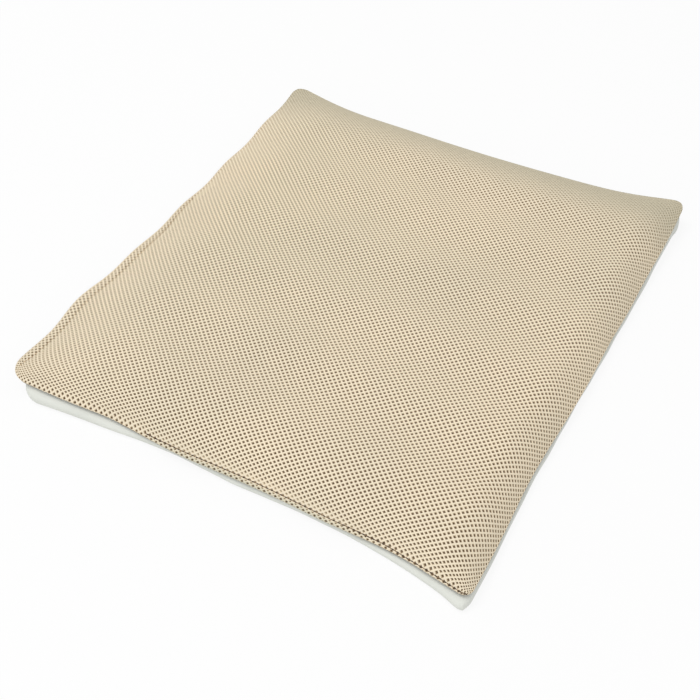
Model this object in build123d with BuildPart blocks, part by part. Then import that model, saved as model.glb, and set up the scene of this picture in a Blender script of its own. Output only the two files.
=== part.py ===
"""Ventilated mesh cushion pad in a removable zipped cover.

Frame: millimetres, +Z up, underside on Z = 0. +X is the width and +Y runs from the front
edge to the back edge. The zip runs along the left (-X) side band, below the mesh edge.
"""
import os
from math import atan, degrees

from build123d import *

os.makedirs("parts", exist_ok=True)

# ---- driving dimensions ------------------------------------------------------------------
WIDTH = 400.0             # mesh panel across the middle
DEPTH = 430.0             # mesh panel across the middle
HEIGHT = 35.0             # floor to crown
BASE_HEIGHT = 13.0        # side band of the base, floor to mesh edge
MESH_THICKNESS = 3.0      # air mesh, pressed flat by the sewing at its edge
BASE_FABRIC = 1.2         # woven base cloth
EDGE_FLANGE = 8.0         # flat border outside the topstitching
BASE_SHIFT = (8.5, -3.0)  # how far the base lies to the right and to the front
CORNER_RADIUS = 12.0

# ---- outline of the cover ----------------------------------------------------------------
LEFT, RIGHT = -WIDTH / 2 - 4, WIDTH / 2 - 4
FRONT_LEFT = (LEFT, -DEPTH / 2 - 6)
FRONT_RIGHT = (RIGHT, -DEPTH / 2 - 9)
BACK_RIGHT = (RIGHT, DEPTH / 2 + 12)
BACK_LEFT = (LEFT, DEPTH / 2 + 6)
FRONT_PULL, BACK_PULL = 6.5, 10.0     # the two edges draw in this far between their corners
NO_SHIFT = (0.0, 0.0)


def cover_outline(inset, shift=NO_SHIFT, radius=CORNER_RADIUS):
    """Sketch the cover's outline, drawn in by inset and moved by shift."""
    def corner(point, into_x, into_y):
        return (point[0] + into_x * inset + shift[0], point[1] + into_y * inset + shift[1])

    front_left = corner(FRONT_LEFT, 1, 1)
    front_right = corner(FRONT_RIGHT, -1, 1)
    back_right = corner(BACK_RIGHT, -1, -1)
    back_left = corner(BACK_LEFT, 1, -1)
    with BuildLine() as edge:
        SagittaArc(front_left, front_right, FRONT_PULL)
        Line(front_right, back_right)
        SagittaArc(back_right, back_left, BACK_PULL)
        Line(back_left, front_left)
    panel = make_face(edge.edges())
    fillet(panel.vertices(), radius)


def pillow(start_inset, start_z, crown_z, shift=NO_SHIFT):
    """Stack tapered bands into a pillow top, steep at its edge and nearly level at its crown."""
    with BuildSketch(Plane.XY.offset(start_z)) as foot:
        cover_outline(start_inset, shift, PILLOW_CORNER)
    level, step, share = foot.sketch, 0.0, 0.0
    for next_step in (0.2, 0.55, 1.0):
        next_share = 1 - (1 - next_step) ** 2.2
        rise = (crown_z - start_z) * (next_share - share)
        reach = CROWN_REACH * (next_step - step)
        band = extrude(level, amount=rise, taper=degrees(atan(reach / rise)))
        level, step, share = band.faces().sort_by(Axis.Z)[-1], next_step, next_share


def ribbed_crown(crown_z, rib_height):
    """Keep what lies under a crown with ridges at crown_z, side by side from front to back."""
    middle, outer = crown_z - rib_height / 2, DEPTH
    turns = [RIB_PITCH * (i - RIB_COUNT + 0.5) / 2 for i in range(2 * RIB_COUNT)]
    with BuildSketch(Plane.YZ.offset(-WIDTH)) as profile:
        with BuildLine():
            for i, (start, end) in enumerate(zip(turns, turns[1:])):
                bend = rib_height / 2 if i % 2 == 0 else -rib_height / 2
                SagittaArc((start, middle), (end, middle), bend)
            Polyline((turns[-1], middle), (outer, crown_z + 5), (outer, -1), (-outer, -1),
                     (-outer, crown_z + 5), (turns[0], middle))
        make_face()
    extrude(profile.sketch, amount=2 * WIDTH, mode=Mode.INTERSECT)


# ---- mesh top panel: air mesh, flat at the topstitched border and domed inside it ---------
CROWN_REACH = 38.0        # from the start of the rise to the level crown
PILLOW_CORNER = 44.0      # the rise turns the corner wider than the cover does
RIB_PITCH = 66.0          # the foam's ribs show through the mesh as low waves
RIB_COUNT = 6
SHOWN_RIB_HEIGHT = 2.4
FLANGE_TOP = BASE_HEIGHT + MESH_THICKNESS
MESH_INNER_INSET = EDGE_FLANGE + 1.2 * MESH_THICKNESS

with BuildPart() as mesh_hollow:
    pillow(MESH_INNER_INSET, BASE_HEIGHT, HEIGHT - MESH_THICKNESS)
    ribbed_crown(HEIGHT - MESH_THICKNESS, SHOWN_RIB_HEIGHT)

with BuildPart() as mesh_top_panel:
    with BuildSketch(Plane.XY.offset(BASE_HEIGHT)):
        cover_outline(0.0)
    extrude(amount=MESH_THICKNESS)
    pillow(EDGE_FLANGE, FLANGE_TOP, HEIGHT)
    ribbed_crown(HEIGHT, SHOWN_RIB_HEIGHT)
    add(mesh_hollow.part, mode=Mode.SUBTRACT)

# ---- base panel: a shallow tray of woven cloth with a zip window in its left side ---------
BASE_INSET = 1.0
BASE_ROUND = 4.5          # soft fold at the floor
PRESSED_FOLD = 3.0        # flatter fold where the side band is sewn under the mesh edge
INNER_FOLD = 1.9
SEAM_RING = 13.0          # how far the base reaches in under the mesh edge

BASE_LEFT = LEFT + BASE_INSET + BASE_SHIFT[0]
TAPE_THICKNESS = 0.5
ZIP_Z = BASE_HEIGHT / 2
ZIP_X = BASE_LEFT + BASE_FABRIC + TAPE_THICKNESS / 2      # middle of the tape
ZIP_CLOSED_Y = 170.0      # slider's middle when the zip is closed
ZIP_PLANE = Plane(origin=(ZIP_X, ZIP_CLOSED_Y, ZIP_Z), x_dir=(0, -1, 0), z_dir=(-1, 0, 0))

TAPE_FACE = ZIP_PLANE.offset(TAPE_THICKNESS / 2)
TAPE_BACK = ZIP_PLANE.offset(-TAPE_THICKNESS / 2)

CHAIN_END = 335.0         # bottom stop, measured from the closed slider
TAPE_LENGTH = CHAIN_END + 32.0
TAPE_SPAN = 10.4          # both tapes, from sewn edge to sewn edge
WINDOW_OVERRUN = 9.0
WINDOW_HEIGHT = 9.0
WINDOW_LENGTH = CHAIN_END + 2 * WINDOW_OVERRUN
WINDOW_MIDDLE = CHAIN_END / 2

with BuildPart() as base_hollow:
    with BuildSketch(Plane.XY.offset(BASE_FABRIC)):
        cover_outline(BASE_INSET + BASE_FABRIC, BASE_SHIFT)
    extrude(amount=BASE_HEIGHT - 2 * BASE_FABRIC)
    chamfer(base_hollow.faces().sort_by(Axis.Z)[0].edges(), INNER_FOLD)
    chamfer(base_hollow.faces().sort_by(Axis.Z)[-1].edges(), INNER_FOLD)

with BuildPart() as base_panel:
    with BuildSketch():
        cover_outline(BASE_INSET, BASE_SHIFT)
    extrude(amount=BASE_HEIGHT)
    fillet(base_panel.faces().sort_by(Axis.Z)[0].edges(), BASE_ROUND)
    chamfer(base_panel.faces().sort_by(Axis.Z)[-1].edges(), PRESSED_FOLD)
    add(base_hollow.part, mode=Mode.SUBTRACT)
    with BuildSketch(Plane.XY.offset(BASE_HEIGHT - BASE_FABRIC)):
        cover_outline(BASE_INSET + SEAM_RING, BASE_SHIFT)
    extrude(amount=BASE_FABRIC, mode=Mode.SUBTRACT)
    with BuildSketch(ZIP_PLANE):
        with Locations((WINDOW_MIDDLE, 0)):
            RectangleRounded(WINDOW_LENGTH, WINDOW_HEIGHT, 1.5)
    extrude(amount=3 * BASE_FABRIC, mode=Mode.SUBTRACT)
    with BuildSketch(TAPE_BACK):
        with Locations((WINDOW_MIDDLE, 0)):
            Rectangle(TAPE_LENGTH, TAPE_SPAN)
    extrude(amount=TAPE_THICKNESS, mode=Mode.SUBTRACT)

# ---- core: a firm foam slab with a softer ribbed layer glued on top -----------------------
SLAB_INSET = 14.5
FOAM_RIB_HEIGHT = 5.5     # the mesh spans the valleys between the ribs
COMFORT_INSET = MESH_INNER_INSET + 5.0
COMFORT_SHIFT = (BASE_SHIFT[0] / 2, BASE_SHIFT[1] / 2)
COMFORT_TOP = HEIGHT - MESH_THICKNESS - 0.8

with BuildPart() as foam_base_slab:
    with BuildSketch(Plane.XY.offset(BASE_FABRIC)):
        cover_outline(SLAB_INSET, BASE_SHIFT)
    extrude(amount=BASE_HEIGHT - BASE_FABRIC)
    chamfer(foam_base_slab.faces().sort_by(Axis.Z)[0].edges(), 1.5)

with BuildPart() as ribbed_comfort_layer:
    pillow(COMFORT_INSET, BASE_HEIGHT, COMFORT_TOP, COMFORT_SHIFT)
    ribbed_crown(COMFORT_TOP, FOAM_RIB_HEIGHT)

# ---- zip chain: two tapes, each with a row of coil loops that interlock -------------------
TAPE_GAP = 0.9            # half the slit between the tapes
TAPE_WIDTH = TAPE_SPAN / 2 - TAPE_GAP
COIL_PITCH = 2.1
COIL_ROOT = (1.1, 2.1)    # the row sewn down on the tape, measured from the chain's middle
LOOP_REACH = 0.35         # how far a loop passes the middle, into the other row
LOOP_ROOT_WIDTH, LOOP_TIP_WIDTH = 0.9, 0.72
COIL_THICKNESS = 1.5
CHAIN_START = -1.2        # the rows meet just ahead of the slider's post
LOOP_COUNT = int((CHAIN_END - CHAIN_START) / COIL_PITCH)


def zip_tape(side):
    """Sketch one tape; side is 1 above the chain and -1 below it."""
    with Locations((WINDOW_MIDDLE, side * (TAPE_GAP + TAPE_WIDTH / 2))):
        Rectangle(TAPE_LENGTH, TAPE_WIDTH)


def coil_row(side):
    """Sketch one row of loops; the lower row is half a pitch along, between the upper's."""
    start = CHAIN_START + COIL_PITCH * (0.25 if side > 0 else 0.75)
    root_low, root_high = COIL_ROOT
    length = LOOP_COUNT * COIL_PITCH
    with Locations((CHAIN_START + length / 2, side * (root_low + root_high) / 2)):
        Rectangle(length, root_high - root_low)
    loop = [
        (-LOOP_ROOT_WIDTH / 2, side * root_low),
        (LOOP_ROOT_WIDTH / 2, side * root_low),
        (LOOP_TIP_WIDTH / 2, -side * LOOP_REACH),
        (-LOOP_TIP_WIDTH / 2, -side * LOOP_REACH),
    ]
    with Locations([(start + i * COIL_PITCH, 0) for i in range(LOOP_COUNT)]):
        Polygon(*loop, align=None)


with BuildPart() as zip_tape_upper:
    with BuildSketch(TAPE_BACK):
        zip_tape(1)
    extrude(amount=TAPE_THICKNESS)

with BuildPart() as zip_tape_lower:
    with BuildSketch(TAPE_BACK):
        zip_tape(-1)
    extrude(amount=TAPE_THICKNESS)

with BuildPart() as zip_coil_upper:
    with BuildSketch(TAPE_FACE):
        coil_row(1)
    extrude(amount=COIL_THICKNESS)

with BuildPart() as zip_coil_lower:
    with BuildSketch(TAPE_FACE):
        coil_row(-1)
    extrude(amount=COIL_THICKNESS)

# ---- stops: two small crimps at the closed end, one wide clamp across the other end -------
STOP_THICKNESS = 1.7
TOP_STOP_LENGTH, TOP_STOP_WIDTH = 1.4, 1.7
BOTTOM_STOP_LENGTH, BOTTOM_STOP_WIDTH = 3.2, 4.8

with BuildPart() as zip_top_stops:
    with BuildSketch(TAPE_FACE):
        with Locations((-5.4, 1.9), (-5.4, -1.9)):
            Rectangle(TOP_STOP_LENGTH, TOP_STOP_WIDTH)
    extrude(amount=STOP_THICKNESS)
    chamfer(zip_top_stops.faces().group_by(Axis.X)[0].edges(), 0.2)

with BuildPart() as zip_bottom_stop:
    with BuildSketch(TAPE_FACE):
        with Locations((CHAIN_END + 0.3 + BOTTOM_STOP_LENGTH / 2, 0)):
            Rectangle(BOTTOM_STOP_LENGTH, BOTTOM_STOP_WIDTH)
    extrude(amount=STOP_THICKNESS)
    chamfer(zip_bottom_stop.faces().group_by(Axis.X)[0].edges(), 0.3)

# ---- slider: two wings joined by a post, with rails that press the rows together ----------
RUNNING_GAP = 0.3
WING_THICKNESS = 0.8
SLIDER_HALF_LENGTH = 4.5
MOUTH_HALF_WIDTH, THROAT_HALF_WIDTH = 3.7, 3.1
RAIL_WIDTH = 0.6
INNER_WING = -TAPE_THICKNESS / 2 - RUNNING_GAP - WING_THICKNESS
OUTER_WING = TAPE_THICKNESS / 2 + COIL_THICKNESS + RUNNING_GAP
RAIL_START = TAPE_THICKNESS / 2 + RUNNING_GAP
WING_TOP = OUTER_WING + WING_THICKNESS
PAWL_SLOT = (1.9, 1.0)    # window in the outer wing for the lock spring's tip
PAWL_AT = 1.6


def shield(inset=0.0):
    """Sketch the slider's plan: wide at the mouth, drawn in to the throat."""
    mouth, throat = MOUTH_HALF_WIDTH - inset, THROAT_HALF_WIDTH - inset
    half = SLIDER_HALF_LENGTH
    with BuildLine() as edge:
        Polyline((-half, -mouth), (-0.6, -mouth), (1.8, -throat), (half, -throat),
                 (half, throat), (1.8, throat), (-0.6, mouth), (-half, mouth), close=True)
    make_face(edge.edges())


with BuildPart() as zip_slider_body:
    with BuildSketch(ZIP_PLANE.offset(INNER_WING)) as inner_wing:
        shield()
        fillet(inner_wing.vertices(), 0.7)
    extrude(amount=WING_THICKNESS)
    with BuildSketch(ZIP_PLANE.offset(OUTER_WING)) as outer_wing:
        shield()
        fillet(outer_wing.vertices(), 0.7)
    extrude(amount=WING_THICKNESS)
    with BuildSketch(ZIP_PLANE.offset(RAIL_START)):
        shield()
        shield_inside = (2 * SLIDER_HALF_LENGTH + 1, 2 * (THROAT_HALF_WIDTH - RAIL_WIDTH))
        Rectangle(*shield_inside, mode=Mode.SUBTRACT)
        with Locations((-SLIDER_HALF_LENGTH + 0.3, 0)):
            Rectangle(4.4, 2 * (MOUTH_HALF_WIDTH - RAIL_WIDTH), mode=Mode.SUBTRACT)
    extrude(amount=OUTER_WING - RAIL_START)
    with BuildSketch(ZIP_PLANE.offset(INNER_WING + WING_THICKNESS)) as post:
        Polygon((-3.9, 0), (-3.0, 0.55), (-1.9, 0.4), (-1.4, 0), (-1.9, -0.4), (-3.0, -0.55),
                align=None)
    extrude(amount=OUTER_WING - INNER_WING - WING_THICKNESS)
    chamfer(zip_slider_body.faces().group_by(Axis.X)[0].edges(), 0.25)
    with BuildSketch(ZIP_PLANE.offset(OUTER_WING)):
        with Locations((PAWL_AT, 0)):
            Rectangle(*PAWL_SLOT)
    extrude(amount=WING_THICKNESS, mode=Mode.SUBTRACT)

# ---- cap, lock spring and pull tab --------------------------------------------------------
PIN_RADIUS = 0.5
PIN_HEIGHT = WING_TOP + 1.0
CAP_HALF_LENGTH = 3.6
CAP_WIDTH = 2.2
CAP_WALL = 0.55
SPRING_THICKNESS = 0.2
SPRING_WIDTH = 0.8
ROOF = PIN_HEIGHT + PIN_RADIUS + RUNNING_GAP + SPRING_THICKNESS
LEAF = ROOF - SPRING_THICKNESS / 2
CAP_SIDE = Plane(origin=ZIP_PLANE.origin, x_dir=ZIP_PLANE.x_dir, z_dir=(0, 0, -1))

with BuildPart() as zip_slider_cap:
    with BuildSketch(CAP_SIDE) as cap_side:
        with BuildLine():
            Polyline((-CAP_HALF_LENGTH, WING_TOP), (-CAP_HALF_LENGTH + 0.5, ROOF + CAP_WALL),
                     (CAP_HALF_LENGTH - 0.5, ROOF + CAP_WALL), (CAP_HALF_LENGTH, WING_TOP),
                     close=True)
        make_face()
        fillet(cap_side.vertices().group_by(Axis.X)[0], 0.5)
        with BuildLine():
            Polyline((-CAP_HALF_LENGTH + 0.8, WING_TOP), (-CAP_HALF_LENGTH + 1.0, ROOF),
                     (CAP_HALF_LENGTH - 1.0, ROOF), (CAP_HALF_LENGTH - 0.8, WING_TOP),
                     close=True)
        make_face(mode=Mode.SUBTRACT)
    extrude(amount=CAP_WIDTH / 2, both=True)

with BuildPart() as zip_lock_spring:
    with BuildSketch(CAP_SIDE):
        with BuildLine() as strip:
            Polyline((-CAP_HALF_LENGTH + 1.2, LEAF), (CAP_HALF_LENGTH - 1.3, LEAF),
                     (PAWL_AT + 0.4, LEAF - 1.2), (PAWL_AT, OUTER_WING + 0.1))
        trace(strip.edges(), SPRING_THICKNESS)
    extrude(amount=SPRING_WIDTH / 2, both=True)

TAB_LENGTH, TAB_WIDTH, TAB_THICKNESS = 24.0, 5.4, 1.0
EYE_LENGTH, EYE_HALF_WIDTH = 4.6, CAP_WIDTH / 2 + RUNNING_GAP + 0.1
PIN_END = 0.6             # metal beyond the pin's axis
WAIST_WIDTH = 4.0         # the grip is narrowest just past the eye
WAIST_AT = EYE_LENGTH + 3.5
GRIP_ROUND = 2.2
HOLE_RADIUS = 1.1

with BuildPart() as zip_pull_tab:
    with BuildSketch(ZIP_PLANE.offset(PIN_HEIGHT - TAB_THICKNESS / 2)) as tab:
        half, waist = TAB_WIDTH / 2, WAIST_WIDTH / 2
        with BuildLine():
            Polyline((-PIN_END, half), (EYE_LENGTH + 1, half), (WAIST_AT, waist),
                     (TAB_LENGTH, half), (TAB_LENGTH, -half), (WAIST_AT, -waist),
                     (EYE_LENGTH + 1, -half), (-PIN_END, -half), close=True)
        make_face()
        fillet(tab.vertices().group_by(Axis.Y)[0], GRIP_ROUND)
        with Locations(((EYE_LENGTH - PIN_END) / 2, 0)):
            Rectangle(EYE_LENGTH + PIN_END, 2 * EYE_HALF_WIDTH, mode=Mode.SUBTRACT)
        with Locations((TAB_LENGTH - half, 0)):
            Circle(HOLE_RADIUS, mode=Mode.SUBTRACT)
    extrude(amount=TAB_THICKNESS)
    chamfer(zip_pull_tab.faces().group_by(Axis.X)[0].edges(), 0.2)
    with BuildSketch(CAP_SIDE) as pin:
        with Locations((0, PIN_HEIGHT)):
            Circle(PIN_RADIUS)
    extrude(amount=EYE_HALF_WIDTH + 0.3, both=True)

# ---- the pieces, one file each ------------------------------------------------------------
pieces = {
    "mesh_top_panel": mesh_top_panel,
    "base_panel": base_panel,
    "foam_base_slab": foam_base_slab,
    "ribbed_comfort_layer": ribbed_comfort_layer,
    "zip_tape_upper": zip_tape_upper,
    "zip_tape_lower": zip_tape_lower,
    "zip_coil_upper": zip_coil_upper,
    "zip_coil_lower": zip_coil_lower,
    "zip_top_stops": zip_top_stops,
    "zip_bottom_stop": zip_bottom_stop,
    "zip_slider_body": zip_slider_body,
    "zip_slider_cap": zip_slider_cap,
    "zip_lock_spring": zip_lock_spring,
    "zip_pull_tab": zip_pull_tab,
}
for name, piece in pieces.items():
    piece.part.label = name
    export_step(piece.part, f"parts/{name}.step")
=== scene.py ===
"""A ventilated mesh cushion pad: air-mesh top, cloth base, foam core, and a zip at the left.

Metres, +Z up, on the floor at Z = 0. +X is the width and +Y runs from the front to the back.
"""
import math

import bmesh
import bpy
import numpy as np
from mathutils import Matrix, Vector


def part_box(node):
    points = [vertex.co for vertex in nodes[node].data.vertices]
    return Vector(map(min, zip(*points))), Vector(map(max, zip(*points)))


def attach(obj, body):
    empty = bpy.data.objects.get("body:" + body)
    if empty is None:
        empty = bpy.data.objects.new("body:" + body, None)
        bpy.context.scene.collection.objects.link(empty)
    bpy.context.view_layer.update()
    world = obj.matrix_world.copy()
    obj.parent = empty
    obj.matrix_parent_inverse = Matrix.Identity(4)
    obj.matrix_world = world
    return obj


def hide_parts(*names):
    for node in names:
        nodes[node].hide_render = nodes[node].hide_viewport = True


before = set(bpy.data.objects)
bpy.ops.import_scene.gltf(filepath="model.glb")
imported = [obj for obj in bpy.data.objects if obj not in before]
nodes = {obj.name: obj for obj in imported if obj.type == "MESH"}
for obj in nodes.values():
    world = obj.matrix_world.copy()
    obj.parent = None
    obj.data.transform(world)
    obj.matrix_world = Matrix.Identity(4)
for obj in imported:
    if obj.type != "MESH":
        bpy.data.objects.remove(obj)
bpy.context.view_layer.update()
scene = bpy.context.scene

# ---- camera ------------------------------------------------------------------------------
# A normal lens looks down on the pad from its front-right side, at half the height of the
# sky, and takes in the whole outline with a little floor round it.
SENSOR = 36.0
FOCAL_IMAGE_SIDES = 1.629                     # focal length in widths of the view
LOOK_AZIMUTH, LOOK_ELEVATION = math.radians(29.1), math.radians(47.2)
LOOK_DISTANCE = 0.934
LOOK_AT = Vector((0.0125, -0.0569, 0.0))

lens = bpy.data.cameras.new("camera")
lens.sensor_width = SENSOR
lens.lens = SENSOR * FOCAL_IMAGE_SIDES
away = Vector((
    math.sin(LOOK_AZIMUTH) * math.cos(LOOK_ELEVATION),
    -math.cos(LOOK_AZIMUTH) * math.cos(LOOK_ELEVATION),
    math.sin(LOOK_ELEVATION),
))
camera = bpy.data.objects.new("camera", lens)
camera.location = LOOK_AT + away * LOOK_DISTANCE
camera.rotation_euler = away.to_track_quat("Z", "Y").to_euler()
scene.collection.objects.link(camera)
scene.camera = camera
scene.view_settings.view_transform = "Standard"

# ---- floor and light ---------------------------------------------------------------------
# A white sheet of paper under large soft lamps. What the eye sees of the sheet is near
# white, and it keeps a pale shadow beside the pad.
FLOOR_SIDE = 12.0
FLOOR_WHITE, PURE_WHITE = (0.9, 0.9, 0.9, 1.0), (1.0, 1.0, 1.0, 1.0)
PAPER_GLOW = 0.86                             # how much of the sheet's brightness is its own
SKY_STRENGTH = 0.62


def either_way(operation):
    """Two methods for an arithmetic sign: one with the wire first, one with it second."""
    return (lambda self, other: self.maths(operation, self, other),
            lambda self, other: self.maths(operation, other, self))


class Wire:
    """A socket of a node tree. Arithmetic on it adds Math nodes, and node() adds any other."""

    def __init__(self, tree, socket=None):
        self.tree, self.socket = tree, socket

    def node(self, kind, settings=None, inputs=None, out=0):
        made = self.tree.nodes.new(kind)
        for name, value in (settings or {}).items():
            if name == "stops":
                ramp = made.color_ramp
                while len(ramp.elements) < len(value):
                    ramp.elements.new(1.0)
                for element, (place, colour) in zip(ramp.elements, value):
                    element.position, element.color = place, (*colour, 1.0)
            else:
                setattr(made, name, value)
        for name, value in (inputs or {}).items():
            if isinstance(value, Wire):
                self.tree.links.new(value.socket, made.inputs[name])
            else:
                made.inputs[name].default_value = value
        return Wire(self.tree, made.outputs[out])

    def out(self, name):
        return Wire(self.tree, self.socket.node.outputs[name])

    def maths(self, operation, *values):
        return self.node("ShaderNodeMath", {"operation": operation}, dict(enumerate(values)))

    __add__, __radd__ = either_way("ADD")
    __sub__, __rsub__ = either_way("SUBTRACT")
    __mul__, __rmul__ = either_way("MULTIPLY")
    __truediv__, __rtruediv__ = either_way("DIVIDE")


def new_material(name):
    """An empty material and a wire to start its nodes from."""
    material = bpy.data.materials.new(name)
    material.use_nodes = True
    material.node_tree.nodes.clear()
    return material, Wire(material.node_tree)


def seen_plainly(start):
    """1 to the eye, straight or by a reflection, and 0 to light that only bounces."""
    rays = start.node("ShaderNodeLightPath", out="Is Camera Ray")
    return rays.maths("MAXIMUM", rays, rays.out("Is Glossy Ray"))


def paper_material():
    """White paper whose own glow keeps it near white to the eye, with a pale shadow."""
    material, start = new_material("white_paper")
    paper = start.node("ShaderNodeBsdfDiffuse", inputs={"Color": FLOOR_WHITE})
    glow = start.node("ShaderNodeEmission", inputs={"Color": PURE_WHITE})
    bright = start.node("ShaderNodeMixShader", inputs={0: PAPER_GLOW, 1: paper, 2: glow})
    both = start.node("ShaderNodeMixShader", inputs={
        0: seen_plainly(start), 1: paper, 2: bright,
    })
    return finish_material(material, both)


def finish_material(material, shader):
    """Give the material this shader, and return it."""
    output = material.node_tree.nodes.new("ShaderNodeOutputMaterial")
    material.node_tree.links.new(shader.socket, output.inputs["Surface"])
    return material


def add_object(name, mesh, *materials):
    """A new object at the origin with this mesh and these materials."""
    made = bpy.data.objects.new(name, mesh)
    scene.collection.objects.link(made)
    for material in materials:
        made.data.materials.append(material)
    return made


half = FLOOR_SIDE / 2
floor_mesh = bpy.data.meshes.new("floor")
floor_mesh.from_pydata(
    [(-half, -half, 0.0), (half, -half, 0.0), (half, half, 0.0), (-half, half, 0.0)],
    [], [(0, 1, 2, 3)],
)
floor = add_object("floor", floor_mesh, paper_material())

world = bpy.data.worlds.new("studio")
world.use_nodes = True
world.node_tree.nodes.clear()
sky = Wire(world.node_tree)
backdrop = sky.node("ShaderNodeBackground", inputs={
    "Color": PURE_WHITE,
    "Strength": seen_plainly(sky) * (1.0 - SKY_STRENGTH) + SKY_STRENGTH,
})
world_output = world.node_tree.nodes.new("ShaderNodeOutputWorld")
world.node_tree.links.new(backdrop.socket, world_output.inputs["Surface"])
scene.world = world


def area_lamp(name, place, side, power):
    """A white, square soft lamp that faces the pad's middle."""
    lamp = bpy.data.lights.new(name, "AREA")
    lamp.shape, lamp.size, lamp.energy = "SQUARE", side, power
    held = bpy.data.objects.new(name, lamp)
    held.location = place
    held.rotation_euler = Vector(place).to_track_quat("Z", "Y").to_euler()
    scene.collection.objects.link(held)


area_lamp("key_lamp", (-0.8, -0.35, 2.6), side=1.2, power=26.0)
area_lamp("fill_lamp", (0.6, -2.1, 1.3), side=1.6, power=11.0)

# ---- air mesh top: the form --------------------------------------------------------------
# The top panel is a spacer knit cut larger than the pad and sewn down inside its edge. Its
# border lies flat at the left and the front, and rolls under at the right and the back.
MM = 0.001
panel_low, panel_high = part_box("mesh_top_panel")
LEFT, RIGHT = panel_low.x + 1.0 * MM, panel_high.x
FRONT, BACK = panel_low.y, panel_high.y
PANEL_BOX = (LEFT, RIGHT, FRONT, BACK)
CROWN = panel_high.z - 2.6 * MM               # leaves room for the ribs and the swelling
CORNERS = ("front_left", "front_right", "back_right", "back_left")
PANEL_OUTLINE = {                             # each corner: how round, and moved by x and y
    "front_left": (20 * MM, 0.0, -2.5 * MM), "front_right": (9 * MM, 2.5 * MM, -5.5 * MM),
    "back_right": (12 * MM, 1.0 * MM, 3.5 * MM), "back_left": (14 * MM, 3.0 * MM, -7.0 * MM),
    "pull": (7.0 * MM, 9.0 * MM),             # how far the front and the back edge draw in
    "bulges": (                               # side, middle, how far outwards, half width
        ("left", -0.125, 5.0 * MM, 0.045), ("left", 0.070, -2.4 * MM, 0.090),
        ("front", -0.108, -1.8 * MM, 0.030), ("front", -0.040, 2.4 * MM, 0.040),
        ("front", 0.050, -0.6 * MM, 0.035), ("front", 0.135, -5.0 * MM, 0.045),
        ("back", -0.140, -3.0 * MM, 0.050), ("back", 0.090, 2.5 * MM, 0.070),
        ("right", 0.190, 2.8 * MM, 0.070), ("right", 0.085, 1.8 * MM, 0.035),
        ("right", 0.0, 1.5 * MM, 0.050), ("right", -0.110, -2.2 * MM, 0.045),
    ),
}
BEND_REACH = 30 * MM                          # how far in the outline's bending dies away
WAVE_LENGTH, WAVE_START = 0.071, -0.127       # the free border flutters along the left side
FLUTTER_HEIGHT, FLUTTER_REACH = 0.7 * MM, 16 * MM
SWAY, SWAY_REACH = 0.5 * MM, 30 * MM          # the same wave, seen in the plan
RIB_PITCH, RIB_HEIGHT = 0.066, 2.2 * MM
SIDE_RISE = {                                 # how far the rise reaches in, and how steep it is
    "left": (60 * MM, 1.8), "right": (30 * MM, 2.6), "front": (34 * MM, 2.4),
    "back": (54 * MM, 2.2),
}
MOST_FLANGE = 8.0 * MM                        # from the cut edge to the topstitching
LEAST_FLANGE = 1.0 * MM
FLANGE_RUNS = {                               # where it widens and narrows, and how much
    "left": ((-0.02, 0.08), (0.34, 0.70), 1.0), "front": ((0.20, 0.45), (0.68, 0.92), 0.55),
}
MEAN_FLANGE, MEAN_EDGE_HEIGHT = 4.0 * MM, 11.0 * MM
PLAN_SAMPLES = 1200
LEFT_DROOP, DROOP = 0.17, 0.30                # how far the flange hangs, for its width
GROOVE_DEPTH, GROOVE_HALF_WIDTH = 0.8 * MM, 2.2 * MM


def smooth_step(value, low, high):
    """0 below low, 1 above high, and a smooth rise between them."""
    share = np.clip((value - low) / (high - low), 0.0, 1.0)
    return share * share * (3.0 - 2.0 * share)


def flange_width(side, x, y):
    """How wide the flat border is at this place along a side."""
    if side not in FLANGE_RUNS:
        return np.full_like(x, LEAST_FLANGE)
    wider, narrower, most = FLANGE_RUNS[side]
    along = (y - FRONT) / (BACK - FRONT) if side == "left" else (x - LEFT) / (RIGHT - LEFT)
    flat = most * smooth_step(along, *wider) * (1.0 - smooth_step(along, *narrower))
    return LEAST_FLANGE + (MOST_FLANGE - LEAST_FLANGE) * flat


def in_from(side, x, y):
    """How far this place lies in from one side of the panel."""
    return {"left": x - LEFT, "right": RIGHT - x, "front": y - FRONT, "back": BACK - y}[side]


def rise_share(distance, flange, reach, power):
    """How far the panel has risen towards its crown, from 0 at the stitching to 1."""
    return 1.0 - (1.0 - np.clip((distance - flange) / reach, 0.0, 1.0)) ** power


def cloth_to_plan(cloth, low, high, low_side, high_side):
    """From shares of the cloth's width to places in the plan, and that width."""
    across = np.linspace(low, high, PLAN_SAMPLES)
    height = (CROWN - MEAN_EDGE_HEIGHT) * (
        rise_share(across - low, MEAN_FLANGE, *SIDE_RISE[low_side])
        * rise_share(high - across, 0.0, *SIDE_RISE[high_side])
    )
    along = np.concatenate([[0.0], np.cumsum(np.hypot(np.diff(across), np.diff(height)))])
    return np.interp(cloth * along[-1], along, across), along[-1]


def grid_lines(width):
    """Shares of the width, close together within the border and even inside it."""
    fine, coarse, border = 1.6 * MM, 4.0 * MM, 16 * MM
    edge = np.arange(0.0, border, fine)
    middle = np.linspace(border, width - border, int((width - 2 * border) / coarse) + 1)
    return np.concatenate([edge, middle, width - edge[::-1]]) / width


_, CLOTH_WIDTH = cloth_to_plan(np.zeros(1), LEFT, RIGHT, "left", "right")
_, CLOTH_DEPTH = cloth_to_plan(np.zeros(1), FRONT, BACK, "front", "back")
columns, rows = grid_lines(CLOTH_WIDTH), grid_lines(CLOTH_DEPTH)
cloth_u, cloth_v = np.meshgrid(columns, rows)
flat_x, _ = cloth_to_plan(cloth_u, LEFT, RIGHT, "left", "right")
flat_y, _ = cloth_to_plan(cloth_v, FRONT, BACK, "front", "back")


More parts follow.
